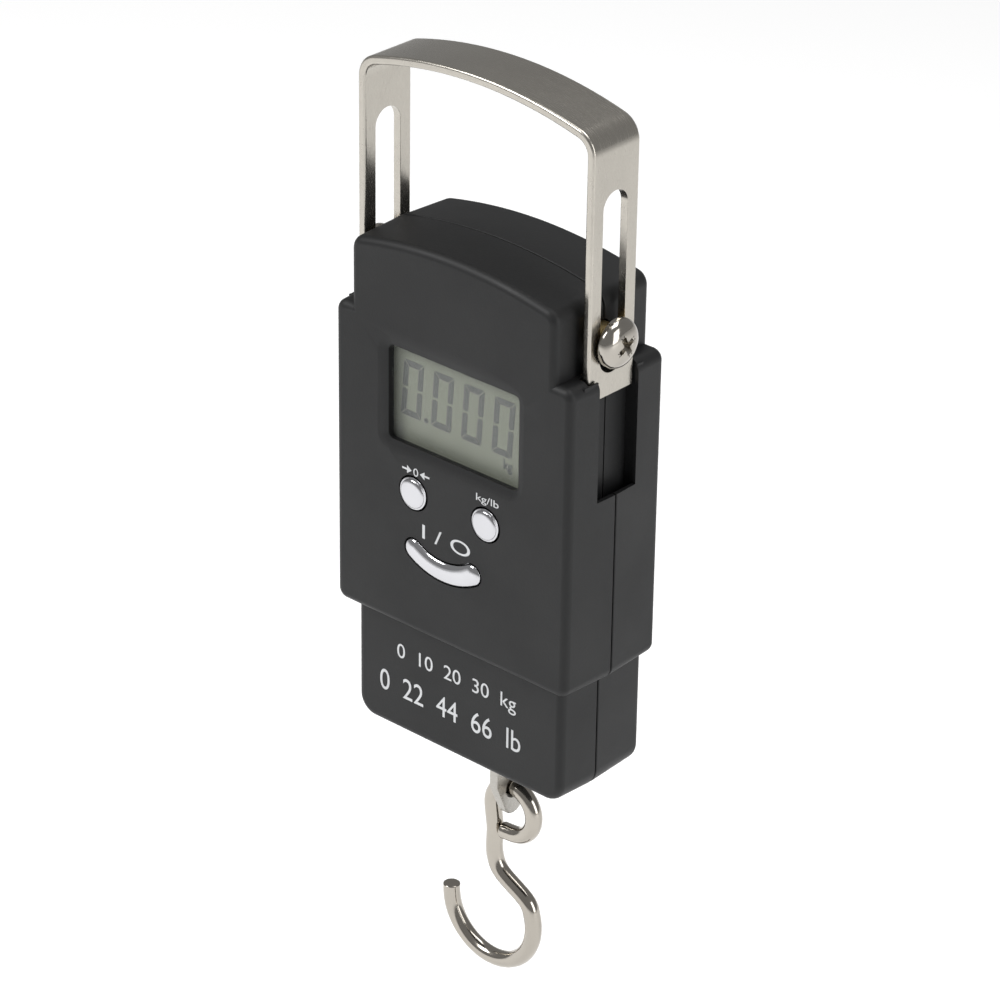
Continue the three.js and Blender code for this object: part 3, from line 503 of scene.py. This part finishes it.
def bosses(y0, y1, inner_front, inner_back):
    """The posts for the four case screws, and their bores."""
    posts = []
    bores = []
    for x, z in BOSSES:
        root = inner_front - BOSS_ROOT
        if BASE_Z + z * MM < BODY_BOTTOM:
            root += FOOT_SETBACK
        at = (x * MM, BASE_Z + z * MM)
        posts.append(round_bar("y", BOSS_R, max(root, y0), min(inner_back + BOSS_ROOT, y1), *at))
        bores.append(round_bar("y", BOSS_BORE_R, SEAM_Y - 8 * MM, BACK_Y - 1 * MM, *at, 24))
        bores.append(round_bar("y", BOSS_HEAD_R, SEAM_Y + 6 * MM, BACK_Y + OVER, *at, 32))
    return posts, bores


def screen_outline(inset):
    half = (lens_hi.x - lens_lo.x) / 2 - SCREEN_LIP
    return rounded_box(half, lens_lo.z + SCREEN_LIP, lens_hi.z - SCREEN_LIP, 1.3 * MM, inset)


def screen_cutter():
    """The straight screen opening with a sloped surround in front of it."""
    past = 0.5 * MM
    grow = SLOPE_WIDTH * (1 + past / SLOPE_DEPTH)
    rings = [(-grow, FRONT_Y - past), (0.0, FRONT_Y + SLOPE_DEPTH), (0.0, FRONT_Y + WALL + past)]
    return stacked("cutter", screen_outline, rings)


def smile_outline(grow=0.0, steps=16):
    """A smile-shaped band with round ends that fits the power button's face, grown by grow."""
    half_angle = 32
    band = 2.2 * MM
    run = 14.5 * MM
    cx = (power_lo.x + power_hi.x) / 2
    cz = power_lo.z + KEY_RIM + band + run
    points = arc(cx, cz, run + band + grow, -90 - half_angle, -90 + half_angle, steps)
    for side in (1, -1):
        a = math.radians(-90 + side * half_angle)
        start = side * (half_angle - 90)
        end_at = (cx + run * math.cos(a), cz + run * math.sin(a))
        points += arc(*end_at, band + grow, start, start + 180, steps)[1:-1]
        if side > 0:
            points += arc(cx, cz, run - band - grow, -90 + half_angle, -90 - half_angle, steps)
    return points


def make_case():
    front_end = SEAM_Y - SEAM_GAP / 2
    back_start = SEAM_Y + SEAM_GAP / 2
    case = half_case("front_case", FRONT_Y, front_end, EDGE_ROUND, SEAM_EDGE, FRONT_Y + FOOT_SETBACK)
    rear = half_case("rear_case", back_start, BACK_Y, SEAM_EDGE, EDGE_ROUND, back_start)
    behind = FRONT_Y + WALL + 0.5 * MM
    cuts = [screen_cutter()]
    for lo, hi in ((tare_lo, tare_hi), (unit_lo, unit_hi)):
        hole_r = (hi.x - lo.x) / 2 - KEY_RIM + SLACK
        middle = (lo + hi) / 2
        cuts.append(round_bar("y", hole_r, FRONT_Y - OVER, behind, middle.x, middle.z))
    cuts.append(stacked("cutter", smile_outline, [(SLACK, FRONT_Y - OVER), (SLACK, behind)]))
    boolean(case, "DIFFERENCE", *cuts)
    slot_x = (link_lo.x - LINK_SIDE_GAP, link_hi.x + LINK_SIDE_GAP)
    slot_y = (link_lo.y - LINK_END_GAP, link_hi.y + LINK_END_GAP)
    link_slot = box(*slot_x, *slot_y, BASE_Z - OVER, BASE_Z + WALL + OVER)
    door_x = (door_lo.x - SLACK, door_hi.x + SLACK)
    door_hole = box(*door_x, door_lo.y - OVER, BACK_Y + OVER, door_lo.z - SLACK, door_hi.z + SLACK)
    boolean(rear, "DIFFERENCE", link_slot, door_hole)
    smooth(case, 28)
    smooth(rear, 28)
    place(case, "housing", case_plastic, "front_shell", slot="case_plastic")
    place(rear, "housing", case_plastic, "rear_shell", slot="case_plastic")


def door_outline(inset):
    half = (door_hi.x - door_lo.x) / 2
    return rounded_box(half, door_lo.z, door_hi.z, 1.2 * MM, inset)


def make_door():
    """The battery door, with a row of thumb grooves that get shorter downwards."""
    door = slab("battery_cover", door_outline, door_lo.y, door_hi.y, 0.2 * MM, 0.2 * MM, 3)
    middle = (door_lo.x + door_hi.x) / 2
    depth = 0.5 * MM
    height = 0.9 * MM
    cuts = []
    for i in range(5):
        z = door_hi.z - (6 + 2.2 * i) * MM
        half = (8 - 0.9 * i) * MM
        cuts.append(box(middle - half, middle + half, door_hi.y - depth, door_hi.y + OVER, z, z + height))
    boolean(door, "DIFFERENCE", *cuts)
    smooth(door, 30, 0.12 * MM)
    place(door, "battery_door", case_plastic, "battery_door", slot="case_plastic")


# ---- buttons ----------------------------------------------------------------------------------------
def make_round_button(name, lo, hi):
    """A slightly domed round key, with a flat rim behind the case wall."""
    r = (hi.x - lo.x) / 2 - KEY_RIM
    back = hi.y - lo.y
    dome = 0.55 * MM
    dome_r = r - 0.45 * MM
    steps = 12
    profile = [(0, 0)]
    for i in range(1, steps + 1):
        a = math.radians(90 * i / steps)
        profile.append((dome_r * math.sin(a) ** 0.9, dome * (1 - math.cos(a)) ** 1.4))
    profile += [(r - 0.12 * MM, dome + 0.12 * MM), (r, dome + 0.35 * MM)]
    profile += [(r, back - RIM_T), (r + KEY_RIM, back - RIM_T), (r + KEY_RIM, back), (0, back)]
    button = lathe(name, profile)
    turn = Matrix.Rotation(math.radians(-90), 4, "X")
    button.data.transform(Matrix.Translation(((lo.x + hi.x) / 2, lo.y, (lo.z + hi.z) / 2)) @ turn)
    return smooth(button, 35)


def make_smile_button():
    """The power button: a domed smile, with a flat rim behind the case wall."""
    dome = 0.9 * MM
    half_band = 2.05 * MM
    steps = 8
    rings = []
    for i in range(steps + 1):
        a = math.radians(90 * i / steps)
        rings.append((-half_band * (1 - math.sin(a)), power_lo.y + dome * (1 - math.cos(a)) ** 0.8))
    rings += [(0.0, power_hi.y - RIM_T), (KEY_RIM, power_hi.y - RIM_T), (KEY_RIM, power_hi.y)]
    button = stacked("power_key", smile_outline, rings)
    smooth(button, 35)
    place(button, "power_button", button_metal, "power_button", slot="button_chrome")


def make_buttons():
    for key, lo, hi in (("tare", tare_lo, tare_hi), ("unit", unit_lo, unit_hi)):
        button = make_round_button(f"{key}_key", lo, hi)
        place(button, f"{key}_button", button_metal, f"{key}_button", slot="button_chrome")
    make_smile_button()


# ---- screen -----------------------------------------------------------------------------------------
def flat_shape(points, y, thickness):
    """A thin plate in the front view from (x, z) points; its front is at y."""
    return skin("mark", [[(x, at, z) for x, z in points] for at in (y, y + thickness)])


def join(name, parts):
    """Joins mesh objects into one."""
    bm = bmesh.new()
    for item in parts:
        bm.from_mesh(item.data)
    mesh = bpy.data.meshes.new(name)
    bm.to_mesh(mesh)
    bm.free()
    for item in parts:
        bpy.data.objects.remove(item)
    obj = bpy.data.objects.new(name, mesh)
    bpy.context.scene.collection.objects.link(obj)
    return obj


def lettering(text, x0, x1, z0, z1, y, thickness, bold=0.0):
    """Plain characters as a thin plate facing the front, fitted between two corners."""
    curve = bpy.data.curves.new("characters", "FONT")
    curve.body = text
    curve.size = 1
    curve.resolution_u = 6
    curve.offset = bold
    curve.extrude = 0.5
    holder = bpy.data.objects.new("characters", curve)
    bpy.context.scene.collection.objects.link(holder)
    graph = bpy.context.evaluated_depsgraph_get()
    mesh = bpy.data.meshes.new_from_object(holder.evaluated_get(graph))
    bpy.data.objects.remove(holder)
    obj = bpy.data.objects.new("characters", mesh)
    bpy.context.scene.collection.objects.link(obj)
    lo = [min(v.co[k] for v in mesh.vertices) for k in (0, 1)]
    hi = [max(v.co[k] for v in mesh.vertices) for k in (0, 1)]
    wide = (x1 - x0) / (hi[0] - lo[0])
    tall = (z1 - z0) / (hi[1] - lo[1])
    fit = Matrix.Diagonal((wide, tall, thickness, 1)) @ Matrix.Translation((-lo[0], -lo[1], 0))
    stand = Matrix.Rotation(math.radians(90), 4, "X")
    mesh.transform(Matrix.Translation((x0, y, z0)) @ stand @ fit)
    return obj


def digit_segments(x, z, width, height, thick, lean):
    """The six outer segments of a seven-segment digit that shows nought."""
    gap = 0.2 * MM
    notch = gap + 0.2 * MM
    half = height / 2

    def slanted(points):
        return [(x + px + pz * lean, z + pz) for px, pz in points]

    top = [(gap, height), (width - gap, height), (width - thick, height - thick), (thick, height - thick)]
    low = [(gap, 0), (width - gap, 0), (width - thick, thick), (thick, thick)]
    shapes = [top, low]
    for px, t in ((0, thick), (width, -thick)):
        shapes.append([(px, height - gap), (px + t, height - thick - gap), (px + t, half + notch),
                       (px + t / 2, half + gap), (px, half + notch)])
        shapes.append([(px, gap), (px + t, thick + gap), (px + t, half - notch),
                       (px + t / 2, half - gap), (px, half - notch)])
    return [slanted(shape) for shape in shapes]


def lens_outline(inset):
    return rounded_box((lens_hi.x - lens_lo.x) / 2, lens_lo.z, lens_hi.z, 1 * MM, inset)


def lcd_outline(inset):
    return rounded_box((lcd_hi.x - lcd_lo.x) / 2, lcd_lo.z, lcd_hi.z, 0.5 * MM, inset)


def make_screen():
    lens = slab("screen_lens", lens_outline, lens_lo.y, lens_hi.y, 0.15 * MM, 0.15 * MM, 3)
    smooth(lens, 30)
    place(lens, "housing", lens_clear, "display_lens", slot="lens_clear")
    panel = slab("screen_panel", lcd_outline, lcd_lo.y, lcd_hi.y, 0.1 * MM, 0.1 * MM, 2)
    smooth(panel, 30)
    place(panel, "housing", lcd_glass, "lcd_panel", slot="lcd_glass")
    make_digits()


def make_digits():
    """Four noughts with a point after the first, and the unit."""
    left = lens_lo.x + SCREEN_LIP
    right = lens_hi.x - SCREEN_LIP
    bottom = lens_lo.z + SCREEN_LIP
    y = lcd_lo.y - 0.06 * MM
    ink = 0.05 * MM
    width = 5.2 * MM
    height = 12.0 * MM
    stroke = 1.3 * MM
    pitch = 7.88 * MM
    start = left + 0.8 * MM
    base = bottom + 4.5 * MM
    marks = []
    for i in range(4):
        for points in digit_segments(start + i * pitch, base, width, height, stroke, 0.07):
            marks.append(flat_shape(points, y, ink))
    point_x = start + width + 1.4 * MM
    marks.append(flat_shape(arc(point_x, base + 0.5 * MM, 0.55 * MM, 0, 337.5, 15), y, ink))
    unit_x = (right - 6.2 * MM, right - 3.9 * MM)
    unit_z = (bottom + 1.2 * MM, bottom + 3.9 * MM)
    marks.append(lettering("kg", *unit_x, *unit_z, y + ink / 2, ink, 0.03))
    digits = join("screen_digits", marks)
    place(digits, "housing", lcd_ink, slot="lcd_glass")


# ---- printed marks ------------------------------------------------------------------------------------
def make_marks():
    """Plain symbols by the buttons, and a table of numbers on the foot of the case."""
    ink = 0.03 * MM
    y = FRONT_Y - ink / 2
    mid = BASE_Z + 62.3 * MM
    centre = -8.8 * MM
    half_w = 0.65 * MM
    half_h = 0.85 * MM
    thin = 0.2 * MM
    marks = [lettering("0", centre - half_w, centre + half_w, mid - half_h, mid + half_h, y, ink)]
    for side in (-1, 1):
        tip = centre + side * 1.1 * MM
        head = centre + side * 2.3 * MM
        tail = centre + side * 3.6 * MM
        arrow = [(tip, mid), (head, mid + half_h), (head, mid - half_h)]
        shaft = [(head, mid + thin), (tail, mid + thin), (tail, mid - thin), (head, mid - thin)]
        marks += [flat_shape(arrow, y - ink / 2, ink), flat_shape(shaft, y - ink / 2, ink)]
    marks.append(lettering("kg/lb", 7.0 * MM, 12.8 * MM, mid - 0.6 * MM, mid + 1.4 * MM, y, ink))
    marks.append(lettering("I / O", -7.0 * MM, 5.6 * MM, BASE_Z + 48.6 * MM, BASE_Z + 51.7 * MM, y, ink))
    labels = join("button_marks", marks)
    place(labels, "housing", print_white, slot="lens_clear")
    foot_y = y + FOOT_SETBACK
    rows = []
    lines = (("0  10  20  30  kg", -16.4, 15.5, 16.2, 20.4), ("0  22  44  66  lb", -21.1, 16.8, 8.2, 12.9))
    for text, x0, x1, z0, z1 in lines:
        rows.append(lettering(text, x0 * MM, x1 * MM, BASE_Z + z0 * MM, BASE_Z + z1 * MM, foot_y, ink))
    table = join("number_table", rows)
    place(table, "housing", print_white, slot="lens_clear")


# ---- handle -----------------------------------------------------------------------------------------------
def strap_path():
    """The middle line of the strap in the front view, from the left foot to the right foot."""
    half = strap_hi.x - STRAP_T / 2
    apex = strap_hi.z - STRAP_T / 2
    big = GRIP_ARC - STRAP_T / 2
    r = GRIP_CORNER - STRAP_T / 2
    centre = apex - big
    cx = half - r
    cz = centre + math.sqrt((big - r) ** 2 - cx**2)
    lean = math.degrees(math.atan2(cz - centre, cx))
    leg = [(-half, strap_lo.z + (cz - strap_lo.z) * i / 30) for i in range(31)]
    points = leg + arc(-cx, cz, r, 180, 180 - lean, 14)[1:]
    points += arc(0, centre, big, 180 - lean, lean, 60)[1:]
    points += arc(cx, cz, r, lean, 0, 14)[1:]
    points += [(half, z) for _, z in reversed(leg[:-1])]
    return points


def strap_section():
    """A rounded rectangle: (across the thickness, across the width)."""
    edge = 0.55 * MM
    t = STRAP_T / 2 - edge
    w = (strap_hi.y - strap_lo.y) / 2 - edge
    points = []
    for cx, cy, start in ((t, w, 0), (-t, w, 90), (-t, -w, 180), (t, -w, 270)):
        points += arc(cx, cy, edge, start, start + 90, 6)
    return points


def sweep(name, path, section, plane_y):
    """Carries a section along a path in the XZ plane; the section's second axis is Y."""
    rings = []
    for i, (x, z) in enumerate(path):
        before = path[max(i - 1, 0)]
        after = path[min(i + 1, len(path) - 1)]
        tx, tz = after[0] - before[0], after[1] - before[1]
        length = math.hypot(tx, tz)
        nx, nz = -tz / length, tx / length
        rings.append([(x + nx * a, plane_y + b, z + nz * a) for a, b in section])
    return skin(name, rings)


def make_strap():
    strap = sweep("grip_strap", strap_path(), strap_section(), STRAP_Y)
    slot = arc(STRAP_Y, SCREW_Z + TRAVEL, SLOT_R, 0, 180, 24)
    slot += arc(STRAP_Y, SCREW_Z - STOP_GAP, SLOT_R, 180, 360, 24)
    boolean(strap, "DIFFERENCE", side_slab("cutter", slot, strap_lo.x - OVER, strap_hi.x + OVER))
    smooth(strap, 30, 0.14 * MM, 2, 50)
    place(strap, "handle", strap_metal, "handle_strap", slot="strap_nickel")


def make_screw(side, node):
    """A pan-head machine screw with a tapered cross recess."""
    lo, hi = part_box(node)
    length = hi.x - lo.x
    head_r = (hi.z - lo.z) / 2
    shank_r = 2.5 * MM
    tip = 0.4 * MM
    head_h = 3.2 * MM
    head_edge = 0.25 * MM
    head_side = 0.75 * MM
    neck = length - head_h
    steps = 14
    profile = [(0, 0), (shank_r - tip, 0), (shank_r, tip), (shank_r, neck), (head_r - head_edge, neck)]
    profile += [(head_r, neck + head_edge), (head_r, neck + head_side)]
    for i in range(1, steps):
        a = math.radians(90 * i / steps)
        profile.append((head_r * math.cos(a) ** 0.75, neck + head_side + (head_h - head_side) * math.sin(a)))
    profile.append((0, length))
    screw = lathe(node.replace("handle_", "strap_"), profile)
    boolean(screw, "DIFFERENCE", *cross_cutters(length))
    turn = Matrix.Rotation(math.radians(90 * side), 4, "Y")
    start = Vector((lo.x if side > 0 else hi.x, (lo.y + hi.y) / 2, (lo.z + hi.z) / 2))
    screw.data.transform(Matrix.Translation(start) @ turn)
    smooth(screw, 30, 0.1 * MM, 2, 45)
    place(screw, "housing", screw_metal, node, slot="screw_nickel")


def cross_cutters(length):
    """Two tapered blades, crossed, that cut the recess in a screw of this length."""
    wide, thin, deep = 2.45 * MM, 0.62 * MM, 2.1 * MM
    top = length + 0.3 * MM
    cuts = []
    for turned in (28, 118):
        rings = []
        for z, w, t in ((top - deep, wide * 0.35, thin * 0.6), (top, wide, thin)):
            rings.append([(-w, -t, z), (w, -t, z), (w, t, z), (-w, t, z)])
        cut = skin("cutter", rings)
        cut.data.transform(Matrix.Rotation(math.radians(turned), 4, "Z"))
        cuts.append(cut)
    return cuts


# ---- hook and link --------------------------------------------------------------------------------------
EYE_R = 5.6 * MM
EYE_X = 0.9 * MM
SHANK_X = -4.0 * MM
BEND_R = 11.45 * MM
BEND_X = -4.5 * MM
PIVOT_Z = BASE_Z - 13.2 * MM
SHANK_END = PIVOT_Z - EYE_R - 12.2 * MM
BEND_Z = SHANK_END - 14.2 * MM
LINK_HOLE_R = 2.3 * MM
LINK_NECK = 3.6 * MM


def spline(points, per_span):
    """A centripetal Catmull-Rom curve through (x, z) points."""
    pts = [Vector(p) for p in points]
    pts = [2 * pts[0] - pts[1]] + pts + [2 * pts[-1] - pts[-2]]
    out = []
    for i in range(1, len(pts) - 2):
        p = pts[i - 1 : i + 3]
        t = [0.0]
        for a, b in zip(p, p[1:]):
            t.append(t[-1] + max((b - a).length, 1e-9) ** 0.5)
        for k in range(per_span):
            s = t[1] + (t[2] - t[1]) * k / per_span
            a1 = p[0] * ((t[1] - s) / (t[1] - t[0])) + p[1] * ((s - t[0]) / (t[1] - t[0]))
            a2 = p[1] * ((t[2] - s) / (t[2] - t[1])) + p[2] * ((s - t[1]) / (t[2] - t[1]))
            a3 = p[2] * ((t[3] - s) / (t[3] - t[2])) + p[3] * ((s - t[2]) / (t[3] - t[2]))
            b1 = a1 * ((t[2] - s) / (t[2] - t[0])) + a2 * ((s - t[0]) / (t[2] - t[0]))
            b2 = a2 * ((t[3] - s) / (t[3] - t[1])) + a3 * ((s - t[1]) / (t[3] - t[1]))
            out.append(tuple(b1 * ((t[2] - s) / (t[2] - t[1])) + b2 * ((s - t[1]) / (t[2] - t[1]))))
    out.append(tuple(pts[-2]))
    return out


def hook_path():
    """The middle line of the wire: a closed eye, a short shank, a slanted run and the open bend."""
    eye_z = PIVOT_Z - EYE_R
    points = [(EYE_X - 2.7 * MM, eye_z - EYE_R - 0.3 * MM)]
    for a in range(-80, 181, 20):
        t = math.radians(a)
        points.append((EYE_X + EYE_R * math.cos(t), eye_z + EYE_R * math.sin(t)))
    points += [(SHANK_X, eye_z - EYE_R - 0.5 * MM), (SHANK_X, SHANK_END)]
    points.append((SHANK_X + 1.5 * MM, SHANK_END - 3.5 * MM))
    for a in range(30, -181, -15):
        t = math.radians(a)
        points.append((BEND_X + BEND_R * math.cos(t), BEND_Z + BEND_R * math.sin(t)))
    points.append((BEND_X - BEND_R, BEND_Z + 1.3 * MM))
    return spline(points, 8)


def make_hook():
    """Bent wire; each cut end has a small worn edge."""
    path = hook_path()
    round_section = arc(0, 0, WIRE_R, 0, 345, 23)
    hook = sweep("wire_hook", path, round_section, LOAD_Y)
    smooth(hook, 50, 0.3 * MM, 3, 60)
    place(hook, "hook", hook_metal, "hook", slot="hook_nickel")


def link_outline():
    """Side view (y, z) of the plate that hangs from the load cell and holds the hook."""
    half = (link_hi.y - link_lo.y) / 2
    end_r = 2.8 * MM
    taper = 0.42
    end_z = link_lo.z + end_r
    pin_z = link_hi.z - LINK_NECK
    top = pin_z - 11.4 * MM
    widen = top - 4 * MM
    shoulder = end_z - end_r * math.sin(taper) + (half - end_r * math.cos(taper)) / math.tan(taper)
    points = arc(LOAD_Y, pin_z, LINK_NECK, 0, 180, 16)
    points += [(LOAD_Y - LINK_NECK, top), (LOAD_Y - half, widen), (LOAD_Y - half, shoulder)]
    lean = math.degrees(taper)
    points += arc(LOAD_Y, end_z, end_r, 180 + lean, 360 - lean, 20)
    points += [(LOAD_Y + half, shoulder), (LOAD_Y + half, widen), (LOAD_Y + LINK_NECK, top)]
    return points


def make_link():
    link = side_slab("hook_plate", link_outline(), link_lo.x, link_hi.x)
    across = (link_lo.x - OVER, link_hi.x + OVER)
    holes = [round_bar("x", LINK_HOLE_R, *across, LOAD_Y, z) for z in (PIVOT_Z, link_hi.z - LINK_NECK)]
    boolean(link, "DIFFERENCE", *holes)
    smooth(link, 30, 0.25 * MM, 3, 45)
    place(link, "housing", link_metal, "hook_link", slot="hook_nickel")


# ---- stage ------------------------------------------------------------------------------------------------
CAMERA_AZIMUTH = 41.859
CAMERA_ELEVATION = 27.78
CAMERA_ROLL = 0.821
CAMERA_DISTANCE = 0.813168
CAMERA_LENS = 150.227
CAMERA_TARGET = Vector((0.000673, 0.001703, BASE_Z + 0.054468))
FLOOR_DROP = 0.06  # from the lowest point of the hook
LIGHT_TARGET = Vector((0, 0, -0.09))


def make_floor():
    floor = box(-6, 6, -6, 6, -0.01, 0)
    floor.name = "floor"
    floor.location.z = hook_lo.z - FLOOR_DROP
    mat, _, principled = shader("floor_white", (0.87, 0.87, 0.87), 0.8)
    principled.inputs["Emission Color"].default_value = (1, 1, 1, 1)
    principled.inputs["Emission Strength"].default_value = 0.28
    floor.data.materials.append(mat)


def softbox(name, place_at, size, power):
    light = bpy.data.lights.new(name, "AREA")
    light.shape = "RECTANGLE"
    light.size, light.size_y = size
    light.energy = power
    obj = bpy.data.objects.new(name, light)
    obj.location = place_at
    obj.rotation_mode = "QUATERNION"
    obj.rotation_quaternion = (LIGHT_TARGET - Vector(place_at)).to_track_quat("-Z", "Y")
    bpy.context.scene.collection.objects.link(obj)


def make_lights():
    world = bpy.data.worlds.new("studio")
    bpy.context.scene.world = world
    world.use_nodes = True
    background = world.node_tree.nodes["Background"]
    background.inputs["Color"].default_value = (1, 1, 1, 1)
    background.inputs["Strength"].default_value = 0.3
    softbox("key", (-0.5, -0.7, 0.7), (0.5, 0.5), 9)
    softbox("side", (1.1, 0.1, 0.25), (0.5, 0.9), 5)
    softbox("top", (0.1, 0.2, 1.1), (0.9, 0.7), 8)


def make_camera():
    scene = bpy.context.scene
    azimuth, elevation, roll = (math.radians(a) for a in (CAMERA_AZIMUTH, CAMERA_ELEVATION, CAMERA_ROLL))
    level = math.cos(elevation)
    back = Vector((math.sin(azimuth) * level, -math.cos(azimuth) * level, math.sin(elevation)))
    camera = bpy.data.cameras.new("camera")
    camera.lens = CAMERA_LENS
    camera.sensor_width = 36
    holder = bpy.data.objects.new("camera", camera)
    holder.rotation_mode = "QUATERNION"
    holder.location = CAMERA_TARGET + back * CAMERA_DISTANCE
    turn = (-back).to_track_quat("-Z", "Y").to_matrix().to_4x4()
    holder.rotation_quaternion = (turn @ Matrix.Rotation(roll, 4, "Z")).to_quaternion()
    scene.collection.objects.link(holder)
    scene.camera = holder
    scene.view_settings.view_transform = "Standard"


make_case()
make_door()
make_buttons()
make_screen()
make_marks()
make_strap()
make_screw(1, "handle_screw_right")
make_screw(-1, "handle_screw_left")
make_hook()
make_link()
make_floor()
make_lights()
make_camera()
